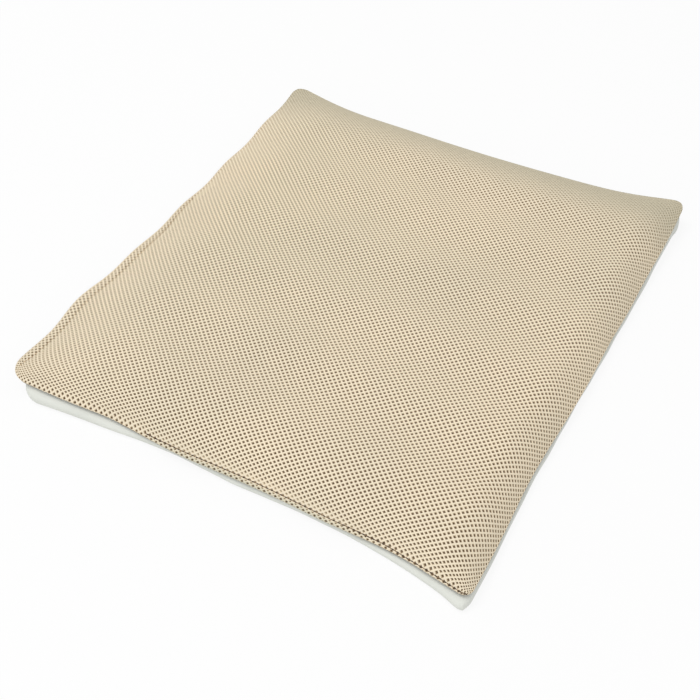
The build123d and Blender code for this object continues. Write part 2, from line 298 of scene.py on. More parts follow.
def round_corner(distance, radius):
    """How a straight side bends into its rounded corner: along the side, and inwards."""
    share = np.clip(distance / radius, 0.0, 1.0)
    angle = math.pi / 4 * (1.0 - share)
    along = radius - radius * np.sin(angle) - share * radius
    inward = radius - radius * np.cos(angle)
    return along, inward


def side_shift(share, length, outline, low_corner, high_corner, pull):
    """Where a side's points go, from its low to its high corner: along it, and inwards."""
    low_along, low_in = round_corner(share * length, outline[low_corner][0])
    high_along, high_in = round_corner((1.0 - share) * length, outline[high_corner][0])
    return low_along - high_along, low_in + high_in + pull * 4.0 * share * (1.0 - share)


def fade(distance, reach):
    """1 at the edge, and less with the distance from it."""
    return np.exp(-np.maximum(distance, 0.0) / reach)


def bell(distance, half_width):
    """1 in the middle, and less to both sides of it."""
    return np.exp(-((distance / half_width) ** 2))


def shape_outline(x, y, box, outline):
    """Bend a straight-sided sheet to its sewn outline; the bending dies away inside it."""
    left, right, front, back = box
    depth, width = back - front, right - left
    u, v = (x - left) / width, (y - front) / depth
    front_pull, back_pull = outline["pull"]
    along_f, up_f = side_shift(u, width, outline, "front_left", "front_right", front_pull)
    along_b, up_b = side_shift(u, width, outline, "back_left", "back_right", back_pull)
    along_l, up_l = side_shift(v, depth, outline, "front_left", "back_left", 0.0)
    along_r, up_r = side_shift(v, depth, outline, "front_right", "back_right", 0.0)
    near_f, near_b = fade(y - front, BEND_REACH), fade(back - y, BEND_REACH)
    near_l, near_r = fade(x - left, BEND_REACH), fade(right - x, BEND_REACH)
    moved_x = near_f * along_f + near_b * along_b + near_l * up_l - near_r * up_r
    moved_y = near_l * along_l + near_r * along_r + near_f * up_f - near_b * up_b
    for name in CORNERS:
        is_left, is_front = name.endswith("left"), name.startswith("front")
        near = (near_l if is_left else near_r) * (near_f if is_front else near_b)
        radius, shift_x, shift_y = outline[name]
        cut = radius * (1.0 - math.cos(math.pi / 4))
        share = ((1.0 - u if is_left else u) * (1.0 - v if is_front else v)) ** 3
        moved_x = moved_x - near * cut * (1 if is_left else -1) + share * shift_x
        moved_y = moved_y - near * cut * (1 if is_front else -1) + share * shift_y
    for side, middle, outward, half_width in outline["bulges"]:
        if side in ("left", "right"):
            near, sign = (near_l, -1) if side == "left" else (near_r, 1)
            moved_x = moved_x + sign * outward * near * bell(y - middle, half_width)
        else:
            near, sign = (near_f, -1) if side == "front" else (near_b, 1)
            moved_y = moved_y + sign * outward * near * bell(x - middle, half_width)
    return x + moved_x, y + moved_y


CORNER_LIFT = (                               # where a corner stands off, how high and how far
    ((LEFT, FRONT), 4.0 * MM, 42 * MM), ((RIGHT, FRONT), 4.0 * MM, 38 * MM),
    ((RIGHT, BACK), 11.0 * MM, 46 * MM), ((LEFT, BACK), 3.5 * MM, 40 * MM),
)
CORNER_SHARPNESS = 1.6
SEAM_HEIGHT = 9.5 * MM
LEFT_EXTRA, LEFT_REACH = 5.5 * MM, 0.12       # the border lies higher at the left and the back
BACK_EXTRA, BACK_REACH = 3.0 * MM, 0.08


def seam_height(x, y):
    """Height of the panel's sewn border over the floor at this place in the plan."""
    height = SEAM_HEIGHT + LEFT_EXTRA * fade(x - LEFT, LEFT_REACH)
    height = height + BACK_EXTRA * fade(BACK - y, BACK_REACH)
    for (corner_x, corner_y), lift, reach in CORNER_LIFT:
        away_from = np.hypot(x - corner_x, y - corner_y)
        height = height + lift * np.exp(-((away_from / reach) ** CORNER_SHARPNESS))
    return height


def flutter(y):
    """The free border's wave along the left side, from -1 to 1."""
    return np.cos(2 * math.pi * (y - WAVE_START) / WAVE_LENGTH)


def panel_height(x, y):
    """The panel's dome with its ribs, fluttering border, hanging flange and stitched groove."""
    share, droop, groove = 1.0, 0.0, 0.0
    for side, (reach, power) in SIDE_RISE.items():
        distance, flange = in_from(side, x, y), flange_width(side, x, y)
        share = share * rise_share(distance, flange, reach, power)
        hang = np.clip(1.0 - distance / flange, 0.0, 1.0) ** 2
        droop = np.maximum(droop, (LEFT_DROOP if side == "left" else DROOP) * flange * hang)
        held = (flange - LEAST_FLANGE) / MOST_FLANGE
        stitched = GROOVE_DEPTH * held * bell(distance - flange, GROOVE_HALF_WIDTH)
        groove = np.maximum(groove, stitched)
    edge = seam_height(x, y)
    border = FLUTTER_HEIGHT * flutter(y) * fade(x - LEFT, FLUTTER_REACH)
    rib = RIB_HEIGHT / 2 * np.cos(2 * math.pi * (y / RIB_PITCH - 0.5))
    return edge + (CROWN - edge) * share + rib * share + border * (1.0 - share) - droop - groove


plan_x, plan_y = shape_outline(flat_x, flat_y, PANEL_BOX, PANEL_OUTLINE)
plan_x = plan_x - SWAY * flutter(flat_y) * fade(flat_x - LEFT, SWAY_REACH)
height = panel_height(flat_x, flat_y)
form_points = np.stack([plan_x, plan_y, height], -1).reshape(-1, 3)


def grid_faces(across, along):
    """Corner numbers of the squares in a grid of points, row by row."""
    first = (np.arange(along - 1)[:, None] * across + np.arange(across - 1)).ravel()
    return np.stack([first, first + 1, first + 1 + across, first + across], 1)


CLOTH_MAP = "cloth"
form_mesh = bpy.data.meshes.new("panel_form")
faces = grid_faces(len(columns), len(rows))
form_mesh.from_pydata(form_points.tolist(), [], faces.tolist())
cloth_places = np.stack([cloth_u * CLOTH_WIDTH, cloth_v * CLOTH_DEPTH], -1).reshape(-1, 2)
form_mesh.uv_layers.new(name=CLOTH_MAP).uv.foreach_set(
    "vector", cloth_places[faces.ravel()].astype(np.float32).ravel()
)
# where the front's stitches press on the knit, and what of it lies outside them; a border
# half as wide as the widest is already held in full
# the marks steer the knit's painted shade: less in the holes at the stitches, more on the
# border
PRESSED_REACH, OUTSIDE_REACH = 2.1 * MM, 4.0 * MM
front_flange = flange_width("front", flat_x, flat_y)
front_held = np.minimum(2.0 * (front_flange - LEAST_FLANGE) / MOST_FLANGE, 1.0)
from_stitches = flat_y - FRONT - front_flange
for mark, share in (
    ("pressed", bell(from_stitches, PRESSED_REACH)),
    ("outside", smooth_step(-from_stitches, 0.0, OUTSIDE_REACH)),
):
    form_mesh.attributes.new(mark, "FLOAT", "POINT").data.foreach_set(
        "value", (front_held * share).astype(np.float32).ravel()
    )
panel_form = add_object("panel_form", form_mesh)

MOST_SWELL = 1.5 * MM
SWELL_FRAMES = 20
border = np.minimum(
    np.minimum(flat_x - LEFT, RIGHT - flat_x), np.minimum(flat_y - FRONT, BACK - flat_y)
).ravel()
pinned = panel_form.vertex_groups.new(name="sewn")
for index in np.flatnonzero(border < MOST_FLANGE + 1.0 * MM):
    pinned.add([int(index)], 1.0, "REPLACE")
cloth = panel_form.modifiers.new("cloth", "CLOTH")
sewn = cloth.settings
sewn.quality, sewn.mass, sewn.vertex_group_mass = 6, 0.3, "sewn"
sewn.tension_stiffness, sewn.compression_stiffness, sewn.bending_stiffness = 25, 12, 3
sewn.use_pressure, sewn.uniform_pressure_force = True, 0.5
sewn.effector_weights.gravity = 0.0
cloth.point_cache.frame_start, cloth.point_cache.frame_end = 1, SWELL_FRAMES
for number in range(1, SWELL_FRAMES + 1):
    scene.frame_set(number)
evaluated = panel_form.evaluated_get(bpy.context.evaluated_depsgraph_get())
swollen = np.empty(len(form_points) * 3, np.float32)
evaluated.data.vertices.foreach_get("co", swollen)
panel_form.modifiers.remove(cloth)
scene.frame_set(1)
moved = swollen.reshape(-1, 3) - form_points
length = np.linalg.norm(moved, axis=1, keepdims=True)
moved *= np.minimum(1.0, MOST_SWELL / np.maximum(length, 1e-9))
form_points = form_points + moved
panel_form.data.vertices.foreach_set("co", form_points.astype(np.float32).ravel())
panel_form.data.update()
form_grid = form_points.reshape(len(rows), len(columns), 3)
along_x, along_y = np.gradient(form_grid, axis=1), np.gradient(form_grid, axis=0)
form_facing = np.cross(along_x, along_y)
form_facing /= np.linalg.norm(form_facing, axis=-1, keepdims=True)

# ---- air mesh top: the knit --------------------------------------------------------------
# The knit's face is a lattice of small rounded holes, two to each repeat, which open on the
# darker spacer yarns below. The holes' colour darkens with depth: partly the yarns' own brown,
# partly painted shade. It is laid over the form by its cloth places, closed underneath.
WALE, COURSE = 4.7 * MM, 4.3 * MM             # the repeat across and along the panel
HOLE_SHARE, FLOOR_SHARE = 0.62, 0.24          # of a cell: the hole's mouth, and its floor
KNIT_THICKNESS, HOLE_DEPTH = 2.6 * MM, 1.5 * MM
RIM_DROP = 0.14                               # share of the depth that the mouth is let down
WELD, LEAST_FACE = 0.04 * MM, 1e-10           # the lattice's cut edge is cleaned up by these
NEARLY_ALL = 0.99999                          # keeps places off the very edge of the cloth
PRESSED_SHARE = 0.75                          # how much shallower a hole looks at a stitch, in its painted shade
BACK_SHADE_FROM, BACK_SHADE_TO = 0.140, 0.215         # towards the back the knit is painted darker and plainer, as shade
BACK_SHADE_COLOUR, BACK_SHADE_SHARE = (0.53, 0.485, 0.36, 1.0), 0.8
# painted shade on the knit's turned-down border outside the front stitches
BORDER_PAINTED_SHADE = (0.76, 0.82, 0.84, 1.0)


def new_tree(name, **inputs):
    """A Geometry Nodes tree that takes a geometry and these named inputs."""
    tree = bpy.data.node_groups.new(name, "GeometryNodeTree")
    tree.interface.new_socket("Geometry", in_out="INPUT", socket_type="NodeSocketGeometry")
    for label, (kind, value) in inputs.items():
        made = tree.interface.new_socket(
            label.replace("_", " ").capitalize(), in_out="INPUT", socket_type=kind
        )
        if value is not None:
            made.default_value = value
    tree.interface.new_socket("Geometry", in_out="OUTPUT", socket_type="NodeSocketGeometry")
    given = Wire(tree, tree.nodes.new("NodeGroupInput").outputs[0])
    return tree, given


def end_tree(tree, geometry, material=None):
    """Realize the instances, shade them smoothly, set the material and end the tree."""
    done = geometry.node("GeometryNodeRealizeInstances", inputs={"Geometry": geometry})
    done = geometry.node("GeometryNodeSetShadeSmooth", inputs={"Geometry": done})
    if material:
        done = geometry.node("GeometryNodeSetMaterial", inputs={
            "Geometry": done, "Material": material,
        })
    tree.links.new(done.socket, tree.nodes.new("NodeGroupOutput").inputs[0])
    return tree


def grow(holder, tree, name, **values):
    """Run a tree on an object with these values and return the result as a plain mesh."""
    modifier = holder.modifiers.new(tree.name, "NODES")
    modifier.node_group = tree
    for item in tree.interface.items_tree:
        label = item.name.lower().replace(" ", "_")
        if item.item_type == "SOCKET" and item.in_out == "INPUT" and label in values:
            modifier[item.identifier] = values[label]
    shown = holder.evaluated_get(bpy.context.evaluated_depsgraph_get())
    mesh = bpy.data.meshes.new_from_object(shown)
    mesh.name = name
    holder.modifiers.remove(modifier)
    return mesh


FLOAT, MATERIAL = "NodeSocketFloat", "NodeSocketMaterial"


def knit_tree():
    """One cell with its hole, in two grids over the cloth, laid over the form by its map."""
    tree, given = new_tree(
        "knit", wale=(FLOAT, WALE), course=(FLOAT, COURSE), hole=(FLOAT, HOLE_SHARE),
        floor=(FLOAT, FLOOR_SHARE), depth=(FLOAT, HOLE_DEPTH),
        thickness=(FLOAT, KNIT_THICKNESS), width=(FLOAT, None), length=(FLOAT, None),
        yarn=(MATERIAL, None),
    )
    wale, course = given.out("Wale"), given.out("Course")
    width, length = given.out("Width"), given.out("Length")
    depth, thickness = given.out("Depth"), given.out("Thickness")

    def vector(x=0.0, y=0.0, z=0.0):
        return given.node("ShaderNodeCombineXYZ", inputs={"X": x, "Y": y, "Z": z})

    def places():
        """X, Y and Z of each point, where it lies by then."""
        point = given.node("GeometryNodeInputPosition")
        split = given.node("ShaderNodeSeparateXYZ", inputs={0: point})
        return split.out("X"), split.out("Y"), split.out("Z")

    def placed(geometry, offset=None, position=None, chosen=True):
        """Move the chosen points by an offset or to a position."""
        inputs = {"Geometry": geometry, "Selection": chosen}
        if offset:
            inputs["Offset"] = offset
        if position:
            inputs["Position"] = position
        return given.node("GeometryNodeSetPosition", inputs=inputs)

    # one repeat's cell, as a lozenge of eight points with one hole
    ring = given.node(
        "GeometryNodeMeshCircle", {"fill_type": "NGON"}, {"Vertices": 8, "Radius": 1.0}
    )
    x, y, _ = places()
    lozenge = 1.0 / (x.maths("ABSOLUTE", x) + y.maths("ABSOLUTE", y))
    cell = placed(ring, position=vector(x * lozenge, y * lozenge))

    def drawn_in(geometry, share, drop):
        """Extrude the chosen face in place, shrink it and let it down."""
        face = given.node(
            "GeometryNodeExtrudeMesh", {"mode": "FACES"},
            {"Mesh": geometry[0], "Selection": geometry[1], "Offset Scale": 0.0},
        )
        top = face.out("Top")
        smaller = given.node(
            "GeometryNodeScaleElements", {"domain": "FACE"},
            {"Geometry": face, "Selection": top, "Scale": share},
        )
        return placed(smaller, offset=vector(z=0.0 - drop), chosen=top), top

    rim = drawn_in((cell, True), given.out("Hole"), depth * RIM_DROP)
    pit = drawn_in(rim, given.out("Floor") / given.out("Hole"), depth * (1.0 - RIM_DROP))
    under = given.node("GeometryNodeFlipFaces", inputs={"Mesh": cell})
    under = placed(under, offset=vector(z=0.0 - thickness))
    tile = given.node("GeometryNodeJoinGeometry")
    join = tile.socket.node
    for part in (pit[0], under):
        tree.links.new(part.socket, join.inputs[0])

    # the lattice: two grids of cells, half a repeat apart both ways
    across = (width / wale).maths("CEIL", width / wale)
    along = (length / course).maths("CEIL", length / course)
    lattice = given.node("GeometryNodeJoinGeometry")
    for shift in (0.0, 0.5):
        grid = given.node("GeometryNodeMeshGrid", inputs={
            "Size X": across * wale, "Size Y": along * course,
            "Vertices X": across + 1.0, "Vertices Y": along + 1.0,
        })
        moved = placed(grid, offset=vector(
            width / 2.0 + wale * shift, length / 2.0 + course * shift
        ))
        tree.links.new(moved.socket, lattice.socket.node.inputs[0])
    cells = given.node("GeometryNodeInstanceOnPoints", inputs={
        "Points": lattice, "Instance": tile,
        "Scale": vector(wale / 2.0, course / 2.0, 1.0),
    })
    cells = given.node("GeometryNodeRealizeInstances", inputs={"Geometry": cells})

    # what hangs over the panel's edge is cut back to it
    u, v, drop = places()

    def held(value, top):
        """The value kept between 0 and top."""
        return given.node("ShaderNodeClamp", inputs={"Value": value, "Min": 0.0, "Max": top})

    cells = placed(cells, position=vector(held(u, width), held(v, length), drop))
    cells = given.node("GeometryNodeMergeByDistance", inputs={
        "Geometry": cells, "Distance": WELD,
    })
    area = given.node("GeometryNodeInputMeshFaceArea")
    flat = area.node(
        "FunctionNodeCompare", {"operation": "LESS_THAN"}, {0: area, 1: LEAST_FACE}
    )
    cells = given.node("GeometryNodeDeleteGeometry", {"domain": "FACE"}, {
        "Geometry": cells, "Selection": flat,
    })

    # lay the lattice over the form
    cloth_place = given.node(
        "GeometryNodeInputNamedAttribute", {"data_type": "FLOAT_VECTOR"}, {"Name": CLOTH_MAP}
    )

    def sampled(value):
        """The form's value at each point's place on the cloth."""
        return given.node("GeometryNodeSampleUVSurface", {"data_type": "FLOAT_VECTOR"}, {
            "Mesh": given, "Value": value, "Source UV Map": cloth_place,
            "Sample UV": vector(
                held(u, width * NEARLY_ALL), held(v, length * NEARLY_ALL)
            ),
        })

    def marked(name):
        """One of the form's marks, as a number."""
        mark = given.node("GeometryNodeInputNamedAttribute", {"data_type": "FLOAT"}, {
            "Name": name,
        })
        return given.node("ShaderNodeSeparateXYZ", inputs={0: sampled(mark)}, out="X")

    # how deep each point lies, for the yarn's colour and painted shade: less where stitches
    # press
    pressed, outside = marked("pressed"), marked("outside")
    share = drop * -1.0 / depth * (1.0 - pressed * PRESSED_SHARE)
    for name, value in (("pit_depth", share), ("under_edge", outside)):
        cells = given.node("GeometryNodeStoreNamedAttribute", {"data_type": "FLOAT"}, {
            "Geometry": cells, "Name": name, "Value": value,
        })
    on_form = sampled(given.node("GeometryNodeInputPosition"))
    facing = sampled(given.node("GeometryNodeInputNormal"))
    proud = given.node("ShaderNodeVectorMath", {"operation": "SCALE"}, {
        0: facing, "Scale": drop,
    })
    draped = given.node("ShaderNodeVectorMath", {"operation": "ADD"}, {0: on_form, 1: proud})
    return end_tree(tree, placed(cells, position=draped), given.out("Yarn"))


def surface(material, start, colour, roughness, bump=None, metallic=0.0):
    """End a material in a Principled shader; bump is its height, strength and distance."""
    inputs = {"Base Color": colour, "Roughness": roughness, "Metallic": metallic}
    if bump:
        height, strength, distance = bump
        inputs["Normal"] = start.node("ShaderNodeBump", inputs={
            "Height": height, "Strength": strength, "Distance": distance,
        })
    return finish_material(material, start.node("ShaderNodeBsdfPrincipled", inputs=inputs))


def texture(start, kind, bands=None, out="Fac", **inputs):
    """A texture laid by the object's own places; bands is the way a wave texture runs."""
    settings = {"bands_direction": bands} if bands else {}
    inputs = {name.replace("_", " ").title(): value for name, value in inputs.items()}
    inputs["Vector"] = start.node("ShaderNodeTexCoord", out="Object")
    return start.node("ShaderNodeTex" + kind, settings, inputs, out)


def tones(start, share, *stops):
    """A colour ramp over this share. Each stop is a place and a colour."""
    return start.node("ShaderNodeValToRGB", {"stops": stops}, {"Fac": share})


def mixed(start, share, colour, other, blend="MIX"):
    """One colour mixed with, or multiplied by, this share of the other."""
    return start.node("ShaderNodeMix", {"data_type": "RGBA", "blend_type": blend}, {
        0: share, 6: colour, 7: other,
    }, out=2)


def knit_material():
    """Cream yarn, dark in the holes, greyer outside the stitches and plainer at the back.

    The holes' darkness is the spacer yarns' brown with painted shade; the grey border and the
    darker, plainer back are painted shade.
    """
    material, start = new_material("air_mesh_knit")
    depth = start.node("ShaderNodeAttribute", {"attribute_name": "pit_depth"}, out="Fac")
    # the yarn darkens with pit depth: the spacer yarns' own brown, and painted shade in the
    # holes
    yarn = tones(
        start, depth, (0.0, (0.93, 0.82, 0.645)), (0.16, (0.80, 0.68, 0.50)),
        (0.55, (0.27, 0.19, 0.11)), (1.0, (0.14, 0.088, 0.045)),
    )
    patches = texture(start, "Noise", scale=9.0, detail=3.0)
    tint = tones(start, patches, (0.3, (0.93, 0.94, 0.93)), (0.7, (1.0, 0.99, 0.97)))
    colour = mixed(start, 1.0, yarn, tint, "MULTIPLY")
    # painted shade greys the knit's border outside the front stitches
    border = start.node("ShaderNodeAttribute", {"attribute_name": "under_edge"}, out="Fac")
    colour = mixed(start, border, colour, BORDER_PAINTED_SHADE, "MULTIPLY")
    # painted shade: the knit turns darker and plainer towards the back, for the back slope
    place = start.node("ShaderNodeTexCoord", out="Object")
    towards_back = start.node("ShaderNodeSeparateXYZ", inputs={0: place}, out="Y")
    back_shade = start.node("ShaderNodeMapRange", {"interpolation_type": "SMOOTHSTEP"}, {
        "Value": towards_back, "From Min": BACK_SHADE_FROM, "From Max": BACK_SHADE_TO,
        "To Max": BACK_SHADE_SHARE,
    })
    colour = mixed(start, back_shade, colour, BACK_SHADE_COLOUR)
    strands = texture(
        start, "Wave", "Y", scale=260.0, distortion=6.0, detail=2.0, detail_scale=1.4
    )
    return surface(material, start, colour, 0.86, bump=(strands, 0.35, 0.12 * MM))


air_mesh_top = add_object("air_mesh_top", grow(
    panel_form, knit_tree(), "air_mesh_top", width=CLOTH_WIDTH, length=CLOTH_DEPTH,
    yarn=knit_material(),
))
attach(air_mesh_top, "cover")
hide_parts("mesh_top_panel")

# ---- topstitching ------------------------------------------------------------------------
# A row of lockstitch holds the panel's flat border at the front and the left; elsewhere the
# seam is hidden. Short stitches lie between needle holes, dark beads of painted shade, which
# are smaller at the left. Thread and holes come in a shaded copy for the front's groove and a
# lit, paler copy for the left.
STITCH_PITCH = 4.0 * MM
STITCH_LENGTH, THREAD = 2.0 * MM, 0.34 * MM
HOLE_LENGTH, HOLE_WIDTH = 2.7 * MM, 1.0 * MM
LEAST_INSET = 1.6 * MM                        # the front's stitches stay this far inside
RUN_POINTS = 260


def on_form(u, v, grid):
    """Values of the form's grid at these shares of the cloth."""
    i = np.interp(u, columns, np.arange(len(columns)))
    j = np.interp(v, rows, np.arange(len(rows)))
    i0 = np.minimum(i.astype(int), len(columns) - 2)
    j0 = np.minimum(j.astype(int), len(rows) - 2)
    p, q = (i - i0)[:, None], (j - j0)[:, None]
    low = grid[j0, i0] * (1 - p) + grid[j0, i0 + 1] * p
    high = grid[j0 + 1, i0] * (1 - p) + grid[j0 + 1, i0 + 1] * p
    return low * (1 - q) + high * q


def seam_run(side, start, end):
    """Points and facings along one side's stitching, between two shares of the side."""
    share = np.linspace(start, end, RUN_POINTS)
    x, y = LEFT + share * (RIGHT - LEFT), FRONT + share * (BACK - FRONT)
    if side == "front":
        inset = np.maximum(flange_width("front", x, np.full_like(x, FRONT)), LEAST_INSET)
        u, v = share, inset / CLOTH_DEPTH
    else:
        inset = flange_width("left", np.full_like(y, LEFT), y)
        u, v = inset / CLOTH_WIDTH, share
    return on_form(u, v, form_grid), on_form(u, v, form_facing)


def stitch_tree():
    """Stitches and needle holes, turn about, along a line that knows which way it faces."""
    tree, given = new_tree(
        "topstitch", pitch=(FLOAT, STITCH_PITCH), stitch=(FLOAT, STITCH_LENGTH),
        thread=(FLOAT, THREAD), hole=(FLOAT, HOLE_LENGTH), hole_width=(FLOAT, HOLE_WIDTH),
        yarn=(MATERIAL, None), shade=(MATERIAL, None),
    )
    line = given.node("GeometryNodeMeshToCurve", inputs={"Mesh": given})
    line = given.node("GeometryNodeResampleCurve", {"mode": "LENGTH"}, {
        "Curve": line, "Length": given.out("Pitch") / 2.0,
    })
    facing = given.node(
        "GeometryNodeInputNamedAttribute", {"data_type": "FLOAT_VECTOR"}, {"Name": "facing"}
    )
    ahead = given.node("GeometryNodeInputTangent")
    turned = given.node("FunctionNodeAlignRotationToVector", {"axis": "X"}, {"Vector": ahead})
    turned = given.node("FunctionNodeAlignRotationToVector", {"axis": "Z", "pivot_axis": "X"}, {
        "Rotation": turned, "Vector": facing,
    })
    number = given.node("GeometryNodeInputIndex")
    odd = number.maths("MODULO", number, 2.0)
    both = given.node("GeometryNodeJoinGeometry")
    shapes = (                                # where, how long, wide and proud, and of what
        (1.0 - odd, given.out("Stitch"), given.out("Thread") * 2.0, 1.4, given.out("Yarn")),
        (odd, given.out("Hole"), given.out("Hole width"), 0.6, given.out("Shade")),
    )
    for chosen, length, width, proud, material in shapes:
        bead = given.node("GeometryNodeMeshIcoSphere", inputs={
            "Radius": 0.5, "Subdivisions": 2,
        })
        bead = given.node("GeometryNodeSetMaterial", inputs={
            "Geometry": bead, "Material": material,
        })
        size = given.node("ShaderNodeCombineXYZ", inputs={
            "X": length, "Y": width, "Z": width * proud,
        })
        row = given.node("GeometryNodeInstanceOnPoints", inputs={
            "Points": line, "Selection": chosen, "Instance": bead, "Rotation": turned,
            "Scale": size,
        })
        tree.links.new(row.socket, both.socket.node.inputs[0])
    return end_tree(tree, both)


def thread_material(name, deep, pale):
    """Twisted polyester thread: fine slanted ridges along each stitch."""
    material, start = new_material(name)
    twist = texture(start, "Wave", "DIAGONAL", scale=900.0, distortion=1.5)
    colour = tones(start, twist, (0.2, deep), (0.8, pale))
    return surface(material, start, colour, 0.6, bump=(twist, 0.5, 0.06 * MM))


def shade_material(name, deep, pale):
    """The shaded inside of a needle hole."""
    material, start = new_material(name)
    fibres = texture(start, "Noise", scale=1500.0)
    return surface(material, start, tones(start, fibres, (0.3, deep), (0.7, pale)), 0.95)


# painted light: the same thread and holes twice, darkened as shade at the front, paler as lit
# at the left
shaded_front_yarns = (
    thread_material("sewing_thread", (0.17, 0.10, 0.048), (0.27, 0.17, 0.09)),
    shade_material("needle_hole", (0.045, 0.028, 0.015), (0.11, 0.072, 0.042)),
)
lit_left_yarns = (
    thread_material("pale_thread", (0.50, 0.33, 0.16), (0.66, 0.47, 0.27)),
    shade_material("pale_needle_hole", (0.30, 0.21, 0.12), (0.42, 0.31, 0.19)),
)
# each side's row: between two shares of the side, its stitches' length and holes' width
for side, start, end, stitch, hole_width, (thread, needle_hole) in (
    ("front", 0.32, 0.985, STITCH_LENGTH, HOLE_WIDTH, shaded_front_yarns),
    ("left", 0.04, 0.56, 1.2 * MM, 0.5 * MM, lit_left_yarns),
):
    run_points, run_facing = seam_run(side, start, end)
    run_mesh = bpy.data.meshes.new("stitch_line")
    run_mesh.from_pydata(run_points.tolist(), [(i, i + 1) for i in range(RUN_POINTS - 1)], [])
    run_mesh.attributes.new("facing", "FLOAT_VECTOR", "POINT").data.foreach_set(
        "vector", run_facing.astype(np.float32).ravel()
    )
    run_line = add_object("stitch_line", run_mesh)
    topstitching = add_object("topstitching_" + side, grow(
        run_line, stitch_tree(), "topstitching_" + side, yarn=thread, shade=needle_hole,
        stitch=stitch, hole_width=hole_width,
    ))
    bpy.data.objects.remove(run_line)
    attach(topstitching, "cover")
bpy.data.objects.remove(panel_form)

# ---- base panel --------------------------------------------------------------------------
# Off-white woven cloth, sewn up under the mesh panel's border. Its side band bulges over
# the foam, folds under at the floor, and has a window in its left side for the zip.
base_low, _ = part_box("base_panel")
CLOTH = 1.1 * MM                              # how thick the cloth is
BASE_BOX = (base_low.x, RIGHT + 0.2 * MM, base_low.y - 1.5 * MM, BACK - 6.0 * MM)
BASE_OUTLINE = {
    "front_left": (24 * MM, 2.0 * MM, -2.5 * MM), "front_right": (11 * MM, 3.0 * MM, -4.0 * MM),
    "back_right": (12 * MM, 4.0 * MM, 0.0), "back_left": (20 * MM, 0.0, 0.0),
    "pull": (12.5 * MM, 8.0 * MM),
    "bulges": (
        ("front", -0.185, 1.5 * MM, 0.025), ("front", -0.125, 2.5 * MM, 0.050),
        ("front", 0.0, 3.2 * MM, 0.045), ("front", 0.115, -2.4 * MM, 0.055),
        ("front", 0.198, 4.0 * MM, 0.018), ("right", -0.100, -1.2 * MM, 0.040),
        ("right", 0.080, 1.5 * MM, 0.070), ("right", 0.214, 1.6 * MM, 0.008),
    ),
}
SEAM_BOX = (LEFT + 9.0 * MM, RIGHT - 2.5 * MM, FRONT + 6.0 * MM, BACK - 3.0 * MM)
SEAM_OUTLINE = dict(
    PANEL_OUTLINE, bulges=[bulge for bulge in PANEL_OUTLINE["bulges"] if bulge[0] != "left"]
)
BAND = (                                      # share of the height, of the way out, and inset
    (0.0, 1.0, 16.0 * MM), (0.0, 1.0, 5.0 * MM), (0.05, 1.0, 2.6 * MM), (0.13, 1.0, 1.2 * MM),
    (0.32, 1.0, 0.2 * MM), (0.50, 1.0, 0.0), (0.68, 0.93, 0.0), (0.84, 0.70, 0.0),
    (0.97, 0.26, 0.0), (1.0, 0.0, 0.0),
)
WINDOW_LEVELS = (3, 8)                        # levels of the band at the window's sill and head
SEAM_ALLOWANCE = 7.0 * MM
SEAM_GAP = 0.1 * MM                           # between the base cloth and the knit above it
CREASES = ((15, 0.35 * MM, 0.0), (36, 0.25 * MM, 1.0))      # how many, how high, and where
PLAIN_UP_TO, CREASED_FROM = 2 * MM, 25 * MM   # the band lies flat beside the zip
SIDE_PLACES = 110
TAPE_PAST_FRONT, TAPE_PAST_BACK = 8 * MM, 7 * MM            # tape behind the window's ends
tape_low, tape_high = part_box("zip_tape_upper")
window_ends = [
    (y - base_low.y) / (BACK - base_low.y)
    for y in (tape_low.y + TAPE_PAST_FRONT, tape_high.y - TAPE_PAST_BACK)
]


def loop_shares(count):
    """Places round a square, from 0 to 1 across and along, closer together at its corners."""
    side = 0.5 - 0.5 * np.cos(np.linspace(0.0, math.pi, count, endpoint=False))
    for share in window_ends:
        side[np.abs(1.0 - side - share).argmin()] = 1.0 - share
    one, none = np.ones(count), np.zeros(count)
    return (np.concatenate([side, one, 1.0 - side, none]),
            np.concatenate([none, side, one, 1.0 - side]))


loop_u, loop_v = loop_shares(SIDE_PLACES)
loop_angle = np.arctan2(loop_v - 0.5, loop_u - 0.5)


def loop_at(box, outline, inset):
    """Places round an outline, this far inside it."""
    left, right, front, back = box
    x = left + inset + loop_u * (right - left - 2 * inset)
    y = front + inset + loop_v * (back - front - 2 * inset)
    return shape_outline(x, y, box, outline)


def seam_top(x, y):
    """Where the base cloth ends, just under the knit's border."""
    return seam_height(x, y) - KNIT_THICKNESS - SEAM_GAP


def base_ring(share, outward, inset, thickness=0.0):
    """One ring of the side band; thickness moves it inside the cloth."""
    seam_x, seam_y = loop_at(SEAM_BOX, SEAM_OUTLINE, thickness)
    low_x, low_y = loop_at(BASE_BOX, BASE_OUTLINE, inset + thickness)
    x, y = seam_x + (low_x - seam_x) * outward, seam_y + (low_y - seam_y) * outward
    crease = sum(high * np.sin(many * loop_angle + turn) for many, high, turn in CREASES)
    full = math.sin(math.pi * share)
    full = full * smooth_step(low_x - base_low.x, PLAIN_UP_TO, CREASED_FROM)
    x = x + crease * full * np.cos(loop_angle)
    y = y + crease * full * np.sin(loop_angle)
    z = thickness + (seam_top(seam_x, seam_y) - 2 * thickness) * share
    return np.stack([x, y, z], 1)


def hem_ring(inset, drop):
    """One ring of the seam allowance, which lies under the knit's border."""
    x, y = loop_at(SEAM_BOX, SEAM_OUTLINE, inset)
    seam_x, seam_y = loop_at(SEAM_BOX, SEAM_OUTLINE, 0.0)
    return np.stack([x, y, seam_top(seam_x, seam_y) - drop], 1)


